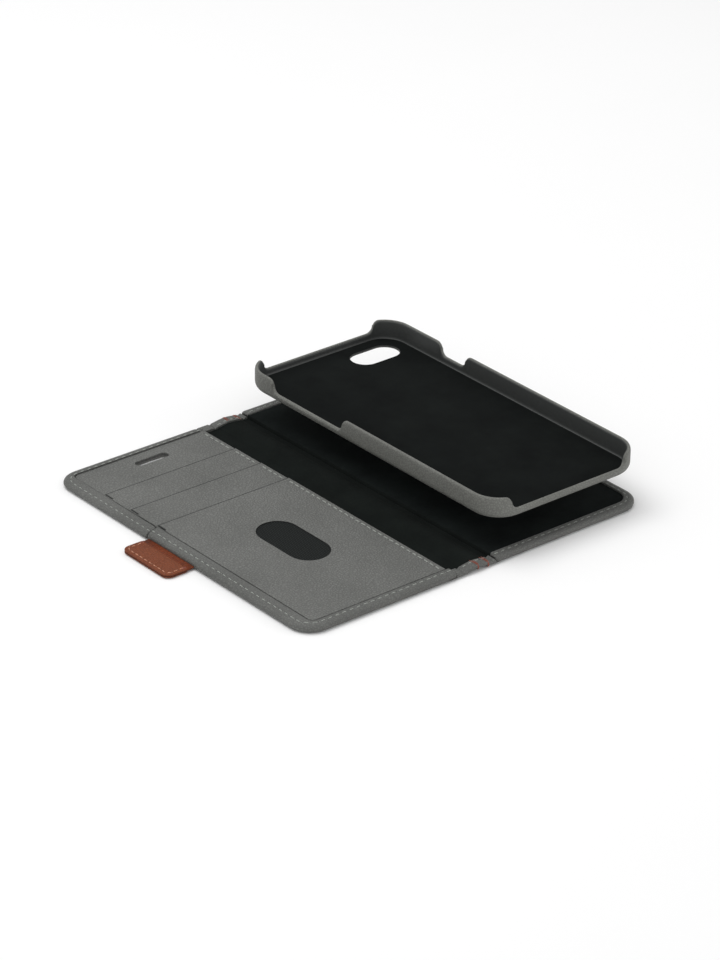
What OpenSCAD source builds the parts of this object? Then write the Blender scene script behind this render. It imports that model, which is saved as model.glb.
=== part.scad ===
// Folding phone wallet case with a lift-off phone shell, open flat on a table.
// +X runs from the closure tab to the far edge of the back cover, +Y to the phone's
// top end, +Z up. The origin is on the table, under the middle of the case.

/* [Phone bay] */
// Width of the phone that the shell holds
phone_w = 67.1; // [60:0.1:80]
// Length of the phone that the shell holds
phone_l = 138.3; // [130:0.1:160]
// Thickness of the phone that the shell holds
phone_t = 7.1; // [6:0.1:9]
// Gap between the phone and each wall of its bay
bay_gap = 0.1; // [0.05:0.05:0.4]

/* [Shell] */
// Thickness of the shell's side walls, leather included
wall_t = 1.5; // [1.2:0.1:2]
// Thickness of the shell's floor, leather and lining included
floor_t = 1.2; // [1.2:0.1:2]
// How far the walls stand above the phone's glass
lip_over = 0.2; // [0:0.1:0.5]
// Height of the low lip left under each side opening
lip_h = 3.7; // [2.5:0.1:5]
// Height of the shell's underside above the table, lifted off its seat
shell_z = 14.1; // [8:0.1:30]

/* [Covers] */
// Length of the covers along the spine
folio_l = 144.4; // [142:0.1:165]
// Front cover, from its crease to its free edge
front_w = 70.2; // [66:0.1:90]
// Spine, from crease to crease
spine_w = 13.2; // [13:0.1:20]
// Back cover, from its crease to its free edge
back_w = 71.8; // [71:0.1:90]
// Radius of the covers' outer corners
corner_r = 9.5; // [6:0.5:12]

/* [Closure tab] */
// How far the tab stands out from the front cover
tab_reach = 11.2; // [8:0.1:20]
// Width of the tab along the cover's edge
tab_w = 26.3; // [15:0.1:40]
// Offset of the tab from the middle of the edge
tab_y = 2.35; // [-20:0.05:20]

/* [Thread] */
// Distance from one stitch to the next
pitch = 3.1; // [2.5:0.1:5]
// Length of one stitch
stitch_l = 2.2; // [1.5:0.1:2.4]

/* [Hidden] */
$fn = 64;
slack = 1;             // how far a cutting shape runs past the face it cuts

// Places along X, from the closure tab's tip to the back cover's free edge
total_w = tab_reach + front_w + spine_w + back_w;
tip_x = -total_w / 2;
front_edge_x = tip_x + tab_reach;
front_crease_x = front_edge_x + front_w;
back_crease_x = front_crease_x + spine_w;
back_edge_x = total_w / 2;
half_l = folio_l / 2;

// Heights: outer leather, stiffening boards, pocket leaves
leather_t = 0.7;
board_top = 1.5;
panel_top = 1.9;
pocket_top_z = 2.15;
pocket_mid_z = 2.4;
cloth_top = 2.5;
leaf_top = 2.8;
band_upper_top = 2.3;
band_lower_top = 2.9;
spine_board_top = 1.3;
spine_top = 1.6;
back_board_top = 1.9;
back_lining_top = 2.2;
back_band_top = 2.7;
strip_top = 1.0;

// Front cover: turned edges, inner panel and pockets
edge_wall = 1.3;       // leather and glue between a board's edge and the outside
side_band = 6.1;       // turned edge along the free side
top_band = 3.4;        // turned edge at the phone's top end
bottom_band = 4.4;     // turned edge at the phone's bottom end
band_inner_r = 4.5;
panel_x0 = front_edge_x + side_band;
panel_x1 = front_crease_x - 4.8;
panel_y0 = -half_l + bottom_band;
panel_y1 = half_l - top_band;
board_x1 = panel_x1 - 0.6;
band_end_x = front_crease_x - 3.3;
slot_y = [50.2, 35.0, 19.1];
seam_y = 18.6;
pocket_end_y = [-36, -50];
ear_x = front_crease_x - 33.6;
ear_y = 62.3;
ear_l = 14.5;
ear_w = 3.6;
window_x = front_crease_x - 33.2;
window_y = -19.2;
window_l = 32.6;
window_w = 15.6;

// Closure tab: it turns on the soft strip between the cover's edge and the stitched part
tab_axis_x = front_edge_x - 2.4;
tab_x1 = tab_axis_x - 0.4;
tab_bottom_z = 0.1;
tab_core_z = 0.5;
tab_skin_z = 1.0;
tab_top_z = 1.4;
tab_r = 3;
anchor_x0 = tab_axis_x + 0.5;
anchor_x1 = front_edge_x + 6;
anchor_w = tab_w - 1.2;
anchor_top = 1.1;
tab_magnet_l = 14;
tab_magnet_w = 4.5;

// Spine: the lining and board stop short of the creases
spine_x0 = front_crease_x + 0.6;
spine_x1 = back_crease_x - 0.5;
binding_w = 4.2;
accent_x = [front_crease_x + 6.4, front_crease_x + 11];
groove_w = 0.7;
groove_d = 0.4;

// Back cover and what it holds
plate_x0 = back_crease_x + 1.9;
back_side_band = 3.4;
back_end_band = 4.3;
back_inner_r = 6;
shell_x = back_crease_x + 36.4;
magnet_r = 5;
magnet_h = 0.9;
magnet_dx = 20;
magnet_dy = 35;
latch_l = 18;
latch_w = 4;

// Shell
bay_w = phone_w + 2 * bay_gap;
bay_l = phone_l + 2 * bay_gap;
bay_r = 10.1;
shell_w = bay_w + 2 * wall_t;
shell_l = bay_l + 2 * wall_t;
shell_h = floor_t + phone_t + lip_over;
wrap_t = 0.4;
lining_t = 0.2;
notch_r = 3;
camera_x = phone_w / 2 - 15.5;
camera_y = phone_l / 2 - 11;
camera_l = 21;
camera_w = 11.5;
plate_l = 52;
plate_w = 24;
plate_t = 0.3;

// Thread
thread_w = 0.5;
thread_h = 0.2;
stitch_inset = 2.6;

// A flat outline from x0 to x1 and y0 to y1, with its own radius at each X end (0 is square)
module outline(x0, x1, y0, y1, r0, r1) {
    translate([x0 + r0, y0]) square([x1 - r1 - x0 - r0, y1 - y0]);
    for (end = [[x0, r0, 1], [x1, r1, -1]])
        if (end[1] > 0) {
            translate([min(end[0], end[0] + end[2] * end[1]), y0 + end[1]])
                square([end[1], y1 - y0 - 2 * end[1]]);
            for (y = [y0 + end[1], y1 - end[1]])
                translate([end[0] + end[2] * end[1], y]) circle(end[1]);
        }
}

// A slab of an outline between two heights
module slab(z0, z1) {
    translate([0, 0, z0]) linear_extrude(z1 - z0) children();
}

// A long hole with round ends, lying along X
module long_hole(l, w) {
    square([l - w, w], center = true);
    for (s = [-1, 1]) translate([s * (l - w) / 2, 0]) circle(w / 2);
}

// The front cover's outside, the edge of its board, and the inner edge of its turned band
module front_outline(inset = 0, x1 = front_crease_x) {
    outline(front_edge_x + inset, x1, inset - half_l, half_l - inset, corner_r - inset, 0);
}
module front_inner(x1) {
    outline(panel_x0, x1, panel_y0, panel_y1, band_inner_r, 0);
}
module ear_slot() {
    translate([ear_x, ear_y, -slack]) linear_extrude(leaf_top + 2 * slack) long_hole(ear_l, ear_w);
}

// The slot in the cover's edge that the tab's strap comes through
module anchor_slot() {
    translate([anchor_x0, tab_y - anchor_w / 2, leather_t])
        cube([anchor_x1 - anchor_x0, anchor_w, anchor_top - leather_t]);
}

module front_outer_leather() {
    color("dimgray") difference() {
        slab(0, leather_t) front_outline();
        ear_slot();
    }
}

module front_board() {
    color("tan") difference() {
        slab(leather_t, board_top) front_outline(edge_wall, board_x1);
        ear_slot();
        anchor_slot();
    }
}

// A length of turned-over edge: a wall outside the board, and a band on top of it
module front_band(top, y0, y1) {
    difference() {
        intersection() {
            union() {
                slab(leather_t, board_top) difference() {
                    front_outline(0, band_end_x);
                    front_outline(edge_wall, band_end_x + slack);
                }
                slab(board_top, top) difference() {
                    front_outline(0, band_end_x);
                    front_inner(band_end_x + slack);
                }
            }
            translate([front_edge_x - slack, y0, 0]) cube([front_w + slack, y1 - y0, top + slack]);
        }
        anchor_slot();
    }
}

module front_edge_band_upper() {
    color("dimgray") front_band(band_upper_top, seam_y, half_l + slack);
}

module front_edge_band_lower() {
    color("dimgray") front_band(band_lower_top, -half_l - slack, seam_y);
}

module inner_panel_leather() {
    color("gray") difference() {
        slab(board_top, panel_top) front_inner(panel_x1);
        ear_slot();
    }
}

// One pocket leaf: from its open edge at y1 down to y0
module pocket(z0, z1, y0, y1) {
    slab(z0, z1) translate([panel_x0, y0]) square([panel_x1 - panel_x0, y1 - y0]);
}

module card_pocket_top() {
    color("gray") pocket(panel_top, pocket_top_z, pocket_end_y[0], slot_y[0]);
}

module card_pocket_middle() {
    color("gray") pocket(pocket_top_z, pocket_mid_z, pocket_end_y[1], slot_y[1]);
}

module window_backing_cloth() {
    color("black") pocket(pocket_mid_z, cloth_top, panel_y0 + 2, slot_y[2] - 2);
}

module window_pocket_leather() {
    color("gray") slab(cloth_top, leaf_top) difference() {
        intersection() {
            front_inner(panel_x1);
            translate([panel_x0, panel_y0]) square([panel_x1 - panel_x0, slot_y[2] - panel_y0]);
        }
        translate([window_x, window_y]) rotate(90) long_hole(window_l, window_w);
    }
}

module front_lining_strip() {
    color("black") slab(leather_t, strip_top)
        translate([board_x1 + 0.1, panel_y0]) square([front_crease_x - 0.3 - board_x1 - 0.1, panel_y1 - panel_y0]);
}

// A U-shaped run of thread: in from (0, h), round the far side at -depth, and back to (0, -h).
// u_point gives the place and heading at the distance s along it.
function u_length(depth, h, r) = 2 * (depth - r) + PI * r + 2 * (h - r);
function u_point(s, depth, h, r) =
    let (a = depth - r, q = PI * r / 2, b = 2 * (h - r))
    s < a ? [-s, h, 180] :
    s < a + q ? let (t = (s - a) / r * 180 / PI) [-a - r * sin(t), h - r + r * cos(t), 180 + t] :
    s < a + q + b ? [-depth, h - r - (s - a - q), 270] :
    s < a + 2 * q + b ? let (t = (s - a - q - b) / r * 180 / PI)
        [-a - r * cos(t), r - h - r * sin(t), 270 + t] :
    [s - 2 * a - 2 * q - b, -h, 0];

module stitch(x, y, z, angle) {
    translate([x, y, z + thread_h / 2]) rotate(angle) cube([stitch_l, thread_w, thread_h], center = true);
}

// Stitches all along a U, on one height above seam_y and another below it
module stitch_u(depth, h, r, z_high, z_low) {
    count = floor(u_length(depth, h, r) / pitch);
    for (i = [0 : count - 1]) {
        p = u_point((i + 0.5) * pitch, depth, h, r);
        stitch(p[0], p[1], p[1] > seam_y ? z_high : z_low, p[2]);
    }
}

// A straight row of stitches from (x, y0) towards +Y
module stitch_row(x, y0, y1, z) {
    for (i = [0 : floor((y1 - y0) / pitch) - 1]) stitch(x, y0 + (i + 0.5) * pitch, z, 90);
}

module front_perimeter_stitching() {
    color("silver") translate([band_end_x, 0, 0])
        stitch_u(band_end_x - front_edge_x - stitch_inset, half_l - stitch_inset,
                 corner_r - stitch_inset, band_upper_top, band_lower_top);
}

module front_hinge_stitching() {
    x = panel_x1 - 1.4;
    color("silver") {
        stitch_row(x, panel_y0, slot_y[2], leaf_top);
        stitch_row(x, slot_y[2] + 1, slot_y[1], pocket_mid_z);
        stitch_row(x, slot_y[1] + 1, slot_y[0], pocket_top_z);
        stitch_row(x, slot_y[0] + 1, panel_y1, panel_top);
    }
}

module tab_anchor_strap() {
    color("peru") anchor_slot();
}

// The tab's outline, with its two far corners rounded
module tab_outline(inset = 0) {
    intersection() {
        outline(tip_x + inset, tab_x1, tab_y - tab_w / 2 + inset, tab_y + tab_w / 2 - inset,
                tab_r - inset, 0);
        translate([tip_x, tab_y - tab_w / 2]) square([tab_x1 - tip_x, tab_w]);
    }
}
module tab_magnet_outline() {
    translate([(tip_x + tab_x1) / 2 - tab_magnet_w / 2, tab_y - tab_magnet_l / 2])
        square([tab_magnet_w, tab_magnet_l]);
}

module tab_top_leather() {
    color("sienna") slab(tab_skin_z, tab_top_z) tab_outline();
}

module tab_bottom_leather() {
    color("sienna") slab(tab_bottom_z, tab_core_z) tab_outline();
}

module tab_stiffener() {
    color("tan") slab(tab_core_z, tab_skin_z) difference() {
        tab_outline(0.6);
        tab_magnet_outline();
    }
}

module tab_magnet() {
    color("silver") slab(tab_core_z, tab_skin_z) tab_magnet_outline();
}

module tab_stitching() {
    inset = 1.5;
    depth = tab_x1 - tip_x - inset;
    h = tab_w / 2 - inset;
    color("peru") translate([tab_x1, tab_y, 0])
        for (i = [0 : floor(u_length(depth, h, tab_r - inset) / pitch) - 1]) {
            p = u_point((i + 0.5) * pitch, depth, h, tab_r - inset);
            stitch(p[0], p[1], tab_top_z, p[2]);
        }
}

module spine_outer_leather() {
    color("dimgray") difference() {
        translate([front_crease_x, -half_l, 0]) cube([spine_w, folio_l, leather_t]);
        for (x = accent_x)
            translate([x - groove_w / 2, -half_l - slack, -slack])
                cube([groove_w, folio_l + 2 * slack, groove_d + slack]);
    }
}

module spine_board() {
    color("tan") translate([spine_x0, edge_wall - half_l, leather_t])
        cube([spine_x1 - spine_x0, folio_l - 2 * edge_wall, spine_board_top - leather_t]);
}

module spine_lining() {
    color("black") translate([spine_x0, binding_w - half_l, spine_board_top])
        cube([spine_x1 - spine_x0, folio_l - 2 * binding_w, spine_top - spine_board_top]);
}

module spine_end_bindings() {
    color("dimgray") for (s = [0, 1]) mirror([0, s, 0]) {
        translate([spine_x0, half_l - edge_wall, leather_t])
            cube([spine_x1 - spine_x0, edge_wall, spine_top - leather_t]);
        translate([spine_x0, half_l - binding_w, spine_board_top])
            cube([spine_x1 - spine_x0, binding_w - edge_wall, spine_top - spine_board_top]);
    }
}

// Two rows of contrast thread, sunk in grooves down the outside of the spine
module spine_accent_stitching() {
    color("sienna") for (x = accent_x)
        stitch_row(x, -half_l, half_l, groove_d - thread_h - 0.1);
}

module spine_end_stitching() {
    color("silver") for (s = [-1, 1]) for (i = [0 : 3])
        stitch(spine_x0 + (i + 0.5) * pitch, s * (half_l - stitch_inset), spine_top, 0);
}

// Back cover: outside, edge of the board, inner edge of the turned band, camera opening
module back_outline(inset = 0, x0 = back_crease_x) {
    outline(x0, back_edge_x - inset, inset - half_l, half_l - inset, 0, corner_r - inset);
}
module back_inner(x0 = plate_x0) {
    outline(x0, back_edge_x - back_side_band, back_end_band - half_l, half_l - back_end_band,
            0, back_inner_r);
}
module camera_hole() {
    translate([shell_x + camera_x, camera_y, -slack])
        linear_extrude(shell_z + shell_h + 2 * slack) long_hole(camera_l, camera_w);
}
module latch_outline() {
    translate([back_edge_x - back_side_band - latch_w, tab_y - latch_l / 2]) square([latch_w, latch_l]);
}
module disc_magnet_outlines() {
    for (i = [-1, 1]) for (j = [-1, 1])
        translate([shell_x + i * magnet_dx, j * magnet_dy]) circle(magnet_r);
}

module back_outer_leather() {
    color("dimgray") difference() {
        slab(0, leather_t) back_outline();
        camera_hole();
    }
}

module back_board() {
    color("tan") difference() {
        slab(leather_t, back_board_top) back_outline(edge_wall, plate_x0);
        slab(back_board_top - magnet_h, back_board_top + slack) {
            disc_magnet_outlines();
            latch_outline();
        }
        camera_hole();
    }
}

module back_lining() {
    color("black") difference() {
        slab(back_board_top, back_lining_top) back_inner();
        camera_hole();
    }
}

module back_edge_band() {
    color("dimgray") {
        slab(leather_t, back_board_top) difference() {
            back_outline(0, plate_x0);
            back_outline(edge_wall, plate_x0 - slack);
        }
        slab(back_board_top, back_band_top) difference() {
            back_outline(0, plate_x0);
            back_inner(plate_x0 - slack);
        }
    }
}

module back_disc_magnets() {
    color("silver") slab(back_board_top - magnet_h, back_board_top) disc_magnet_outlines();
}

module back_latch_magnet() {
    color("silver") slab(back_board_top - magnet_h, back_board_top) latch_outline();
}

module back_stitching() {
    depth = back_edge_x - plate_x0 - 1.9;
    color("silver") translate([plate_x0, 0, 0]) mirror([1, 0, 0])
        stitch_u(depth, half_l - stitch_inset, corner_r - 1.9, back_band_top, back_band_top);
}

// Shell outline about its own centre, inset from the outside
module shell_outline(inset) {
    r = bay_r + wall_t - inset;
    outline(inset - shell_w / 2, shell_w / 2 - inset, inset - shell_l / 2, shell_l / 2 - inset, r, r);
}
module plate_outlines() {
    for (s = [-1, 1]) translate([0, s * magnet_dy]) square([plate_l, plate_w], center = true);
}

// A side opening with round lower corners, from the lip up past the wall's top
module notch(w) {
    h = shell_h - lip_h + slack;
    translate([0, 0, lip_h]) rotate([90, 0, 0]) linear_extrude(12, center = true) {
        translate([-w / 2, notch_r]) square([w, h - notch_r]);
        translate([notch_r - w / 2, 0]) square([w - 2 * notch_r, h]);
        for (s = [-1, 1]) translate([s * (w / 2 - notch_r), notch_r]) circle(notch_r);
    }
}

// The openings: phone's bottom and top ends, volume and mute keys, side key
module shell_openings() {
    end_w = 53;
    keys_w = 40;
    keys_y = 33;
    side_key_w = 14;
    side_key_y = 32;
    translate([0, -shell_l / 2, 0]) notch(end_w);
    translate([0, shell_l / 2, 0]) notch(end_w);
    translate([-shell_w / 2, keys_y, 0]) rotate(90) notch(keys_w);
    translate([shell_w / 2, side_key_y, 0]) rotate(90) notch(side_key_w);
}
module place_shell() {
    translate([shell_x, 0, shell_z]) children();
}

module shell_core() {
    color("darkslategray") difference() {
        place_shell() difference() {
            slab(wrap_t, shell_h) shell_outline(wrap_t);
            slab(floor_t - lining_t, shell_h + slack) shell_outline(wall_t);
            slab(floor_t - lining_t - plate_t, shell_h) plate_outlines();
            shell_openings();
        }
        camera_hole();
    }
}

module shell_leather_wrap() {
    color("dimgray") difference() {
        place_shell() difference() {
            slab(0, shell_h) shell_outline(0);
            slab(wrap_t, shell_h + slack) shell_outline(wrap_t);
            shell_openings();
        }
        camera_hole();
    }
}

module shell_lining() {
    color("black") difference() {
        place_shell() slab(floor_t - lining_t, floor_t) shell_outline(wall_t);
        camera_hole();
    }
}

module shell_steel_plates() {
    color("silver") place_shell() slab(floor_t - lining_t - plate_t, floor_t - lining_t) plate_outlines();
}

front_outer_leather();
front_board();
front_edge_band_upper();
front_edge_band_lower();
inner_panel_leather();
card_pocket_top();
card_pocket_middle();
window_backing_cloth();
window_pocket_leather();
front_lining_strip();
front_perimeter_stitching();
front_hinge_stitching();
tab_anchor_strap();
tab_top_leather();
tab_bottom_leather();
tab_stiffener();
tab_magnet();
tab_stitching();
spine_outer_leather();
spine_board();
spine_lining();
spine_end_bindings();
spine_accent_stitching();
spine_end_stitching();
back_outer_leather();
back_board();
back_lining();
back_edge_band();
back_disc_magnets();
back_latch_magnet();
back_stitching();
shell_core();
shell_leather_wrap();
shell_lining();
shell_steel_plates();
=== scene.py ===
"""Phone wallet case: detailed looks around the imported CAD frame.

The pieces are worked out in millimetres and written as meshes in metres. The stage, the lights and
the camera are in metres.
"""
import math
import random

import bmesh
import bpy
from mathutils import Matrix, Vector


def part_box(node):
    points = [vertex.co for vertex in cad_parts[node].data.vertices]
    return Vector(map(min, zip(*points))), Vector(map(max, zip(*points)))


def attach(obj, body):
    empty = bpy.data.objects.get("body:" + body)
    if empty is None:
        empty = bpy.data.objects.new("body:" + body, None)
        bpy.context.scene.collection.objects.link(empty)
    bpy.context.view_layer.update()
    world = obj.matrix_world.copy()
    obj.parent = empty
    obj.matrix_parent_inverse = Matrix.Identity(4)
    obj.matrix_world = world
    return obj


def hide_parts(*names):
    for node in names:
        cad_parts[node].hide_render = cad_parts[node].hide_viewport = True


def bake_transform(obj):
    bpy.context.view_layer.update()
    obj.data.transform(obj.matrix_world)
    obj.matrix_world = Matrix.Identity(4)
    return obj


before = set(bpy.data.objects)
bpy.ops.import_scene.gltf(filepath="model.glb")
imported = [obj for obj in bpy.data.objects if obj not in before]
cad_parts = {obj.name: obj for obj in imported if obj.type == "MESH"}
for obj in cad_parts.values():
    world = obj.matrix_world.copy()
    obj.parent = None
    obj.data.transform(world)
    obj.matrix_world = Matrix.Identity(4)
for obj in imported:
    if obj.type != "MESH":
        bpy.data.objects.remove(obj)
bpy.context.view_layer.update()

MM = 0.001
rng = random.Random(7)


# ---------------------------------------------------------------- the frame's places

class Box:
    """A CAD node's box, in millimetres."""

    def __init__(self, node):
        low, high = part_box(node)
        self.x0, self.y0, self.z0 = (c / MM for c in low)
        self.x1, self.y1, self.z1 = (c / MM for c in high)
        self.cx = (self.x0 + self.x1) / 2


front = Box("front_outer_leather")
front_board = Box("front_board")
band_up = Box("front_edge_band_upper")
band_low = Box("front_edge_band_lower")
panel = Box("inner_panel_leather")
pocket_top = Box("card_pocket_top")
pocket_mid = Box("card_pocket_middle")
cloth = Box("window_backing_cloth")
leaf = Box("window_pocket_leather")
spine = Box("spine_outer_leather")
spine_board = Box("spine_board")
back = Box("back_outer_leather")
back_board = Box("back_board")
back_band = Box("back_edge_band")
plate = Box("back_lining")
tab_top = Box("tab_top_leather")
tab_low = Box("tab_bottom_leather")
strap = Box("tab_anchor_strap")
shell = Box("shell_leather_wrap")
shell_floor = Box("shell_lining")

FRONT_CREASE, BACK_CREASE = spine.x0, spine.x1
SPINE_MID = (FRONT_CREASE + BACK_CREASE) / 2
AXIS_Z = front.z1                   # the folds' axes lie on top of the outer leather
FRONT_BEND, BACK_BEND = 7.2, 3.0    # how far the creased leather reaches onto each cover

FRONT_CORNER_R, BACK_CORNER_R = 8.8, 9.5
FRONT_INNER_R, BACK_INNER_R = 2.0, 6.0      # corners of the fields inside the turned edges
FIELD_GAP = 0.12                            # between the front cover's field and its turned edge
EAR_SLOT = (FRONT_CREASE - 33.6, 62.3, 14.5, 3.6)         # middle x, middle y, length, width
WINDOW = (FRONT_CREASE - 33.2, -19.2, 32.6, 15.6)
CAMERA_HOLE = (shell.cx + 18.05, 58.15, 21.0, 11.5)

PITCH = 3.1                 # from one stitch to the next
STITCH = 1.85               # the part of a stitch that shows
STITCH_INSET = 2.6          # the edge seams' distance from the outside
SOFT_EDGE = 60              # edges flatter than this many degrees are shaded smooth on thread and cloth


# ---------------------------------------------------------------- materials

def principled(name):
    """A new node material, a helper that adds a node and one that sets the shader's inputs."""
    material = bpy.data.materials.new(name)
    material.use_nodes = True
    nodes, links = material.node_tree.nodes, material.node_tree.links

    def feed(node, inputs):
        for key, value in inputs.items():
            if isinstance(value, bpy.types.NodeSocket):
                links.new(value, node.inputs[key])
            else:
                node.inputs[key].default_value = value

    def add(kind, inputs=None, **settings):
        node = nodes.new(kind)
        for key, value in settings.items():
            setattr(node, key, value)
        feed(node, inputs or {})
        return node

    return material, add, lambda inputs: feed(nodes["Principled BSDF"], inputs)


def rgb(r, g, b):
    """A display colour, 0 to 255, as the shader's linear colour."""
    def linear(c):
        c /= 255
        return c / 12.92 if c <= 0.04045 else ((c + 0.055) / 1.055) ** 2.4
    return (linear(r), linear(g), linear(b), 1.0)


def grey(level):
    """A linear grey, 0 to 1."""
    return (level, level, level, 1.0)


# each of these adds one node and gives its output

def place_in(add):
    return add("ShaderNodeTexCoord").outputs["Object"]


def noise(add, place, scale, detail, roughness=0.5, output="Fac"):
    return add("ShaderNodeTexNoise", {"Vector": place, "Scale": scale, "Detail": detail,
                                      "Roughness": roughness}).outputs[output]


def mix(add, share, a, b, kind="MIX"):
    return add("ShaderNodeMixRGB", {"Fac": share, "Color1": a, "Color2": b},
               blend_type=kind).outputs["Color"]


def ramp(add, factor, stops):
    node = add("ShaderNodeValToRGB", {"Fac": factor})
    elements = node.color_ramp.elements
    while len(elements) < len(stops):
        elements.new(0.5)
    for element, (place, colour) in zip(elements, stops):
        element.position, element.color = place, colour
    return node.outputs["Color"]


def scaled(add, value, low, high):
    return add("ShaderNodeMapRange", {"Value": value, "To Min": low, "To Max": high}).outputs["Result"]


def bump(add, height, strength, mm, **under):
    return add("ShaderNodeBump", {"Height": height, "Strength": strength, "Distance": mm * MM,
                                  **under}).outputs["Normal"]


def leather(name, light, dark, pebble, depth, roughness, sheen, shine=0.3):
    """Pebbled leather: rounded grains between fine creases, which are darkened with painted shade, with slow
    changes of tone.
    """
    material, add, shade = principled(name)
    place = place_in(add)
    warp = noise(add, place, 260.0, 2.0, output="Color")
    grains = add("ShaderNodeTexVoronoi", {"Vector": mix(add, 0.0016, place, warp), "Scale": 1000.0 / pebble},
                 feature="DISTANCE_TO_EDGE").outputs["Distance"]
    fine = noise(add, place, 2600.0, 3.0)
    height = ramp(add, grains, [(0.0, grey(0)), (0.22, grey(0.8)), (0.6, grey(1))])
    tone = ramp(add, noise(add, place, 38.0, 4.0), [(0.32, dark), (0.68, light)])
    # darker in the fine creases between the grains: painted shade
    crease = ramp(add, grains, [(0.0, grey(0.6)), (0.2, grey(1))])
    shade({"Base Color": mix(add, 0.8, tone, crease, "MULTIPLY"),
           "Roughness": scaled(add, fine, roughness - 0.07, roughness + 0.09),
           "Normal": bump(add, height, 0.9, depth, Normal=bump(add, fine, 0.25, 0.04)),
           "Sheen Weight": sheen, "Specular IOR Level": shine})
    return material


def microfibre(name, light, dark, sheen):
    """Brushed cloth: a fine nap with slow lighter and darker strokes."""
    material, add, shade = principled(name)
    place = place_in(add)
    nap = noise(add, place, 3400.0, 3.0)
    strokes = mix(add, 0.35, noise(add, place, 60.0, 5.0, 0.7), nap)
    shade({"Base Color": ramp(add, strokes, [(0.35, dark), (0.65, light)]),
           "Roughness": scaled(add, nap, 0.82, 1.0), "Normal": bump(add, nap, 0.5, 0.06),
           "Sheen Weight": sheen, "Sheen Roughness": 0.4, "Specular IOR Level": 0.06})
    return material


def woven(name, light, dark, thread):
    """Plain-woven cloth: two crossed sets of yarns, thread millimetres apart, with painted shade between the
    yarns.
    """
    material, add, shade = principled(name)
    place = place_in(add)
    scale = math.pi / thread / MM / 10      # one wave for each yarn
    across, along = (add("ShaderNodeTexWave", {"Vector": place, "Scale": scale, "Distortion": 0.6,
                                               "Detail": 1.0, "Detail Scale": 2.0},
                         bands_direction=axis).outputs["Fac"] for axis in ("X", "Y"))
    weave = add("ShaderNodeMath", {0: across, 1: along}, operation="MULTIPLY").outputs["Value"]
    fibre = noise(add, place, 1500.0, 2.0)
    both = mix(add, 0.3, weave, fibre)
    # dark where the yarns part, lighter on their crossings: painted shade between the yarns
    shade({"Base Color": ramp(add, both, [(0.1, dark), (0.75, light)]),
           "Roughness": scaled(add, fibre, 0.7, 0.95), "Normal": bump(add, both, 0.7, 0.1),
           "Sheen Weight": 0.02, "Specular IOR Level": 0.1})
    return material


def twisted(name, light, dark):
    """Sewing thread: slanting plies, with painted shade in the grooves between them, and a little fuzz."""
    material, add, shade = principled(name)
    place = place_in(add)
    plies = add("ShaderNodeTexWave", {"Vector": place, "Scale": 700.0, "Distortion": 1.0},
                bands_direction="DIAGONAL").outputs["Fac"]
    both = mix(add, 0.4, plies, noise(add, place, 3000.0, 2.0))
    # the grooves between the plies are coloured darker: painted shade
    shade({"Base Color": ramp(add, both, [(0.15, dark), (0.7, light)]), "Roughness": 0.6,
           "Normal": bump(add, both, 0.5, 0.06), "Sheen Weight": 0.2})
    return material


def grained(name, light, dark, scale, roughness, metallic=0.0, bump_mm=0.02):
    """A plain hard material: moulded plastic, fibre board or plated metal, by its settings."""
    material, add, shade = principled(name)
    grain = noise(add, place_in(add), scale, 5.0, 0.65)
    shade({"Base Color": ramp(add, grain, [(0.35, dark), (0.65, light)]),
           "Roughness": scaled(add, grain, roughness - 0.08, roughness + 0.08),
           "Normal": bump(add, grain, 0.4, bump_mm), "Metallic": metallic})
    return material


GREY = leather("grey_pebbled_leather", rgb(116, 117, 114), rgb(106, 107, 104), 1.05, 0.24, 0.6, 0.03)
# a darker copy of the grey leather for the turned edges and the spine's turned ends: painted shade
SHADED_TURNED_GREY = leather("grey_leather_turned_painted_shade", rgb(108, 109, 106), rgb(98, 99, 96), 0.9, 0.16, 0.6, 0.03)
GREY_SHELL = leather("grey_smooth_leather", rgb(119, 120, 115), rgb(111, 112, 107), 0.9, 0.1, 0.6, 0.03)
# the dark cut-edge grey: real edge dye, and painted shade for the dark lines at the seam, the pocket mouths
# and the window's rim
DYE_AND_SHADE_EDGE_GREY = leather("grey_edge_dye_and_painted_shade", rgb(54, 55, 53), rgb(42, 43, 41), 0.5, 0.03, 0.6, 0.0)
TAN = leather("tan_leather", rgb(130, 71, 44), rgb(120, 63, 38), 1.0, 0.08, 0.5, 0.0, 0.16)
TAN_EDGE = leather("tan_painted_edge", rgb(92, 44, 26), rgb(76, 36, 22), 0.6, 0.03, 0.45, 0.0, 0.2)
TAN_FOLD = leather("tan_creased_leather", rgb(134, 62, 28), rgb(90, 40, 18), 1.5, 0.12, 0.5, 0.0, 0.2)
BLACK = microfibre("black_microfibre", rgb(24, 28, 26), rgb(15, 18, 17), 0.015)
SUEDE = microfibre("shell_floor_suede", rgb(21, 24, 23), rgb(11, 13, 13), 0.01)
# a lighter copy of the black suede for the back plate: painted light
PAINTED_LIGHT_SUEDE = microfibre("back_suede_painted_light", rgb(30, 35, 34), rgb(16, 19, 19), 0.01)
CLOTH = woven("black_woven_cloth", rgb(48, 52, 51), rgb(3, 4, 4), 0.8)
THREAD = twisted("grey_thread", rgb(164, 168, 161), rgb(110, 114, 109))
TAN_THREAD = twisted("tan_thread", rgb(206, 146, 112), rgb(150, 92, 66))
ORANGE_THREAD = twisted("rust_thread", rgb(144, 62, 34), rgb(88, 37, 21))
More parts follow.
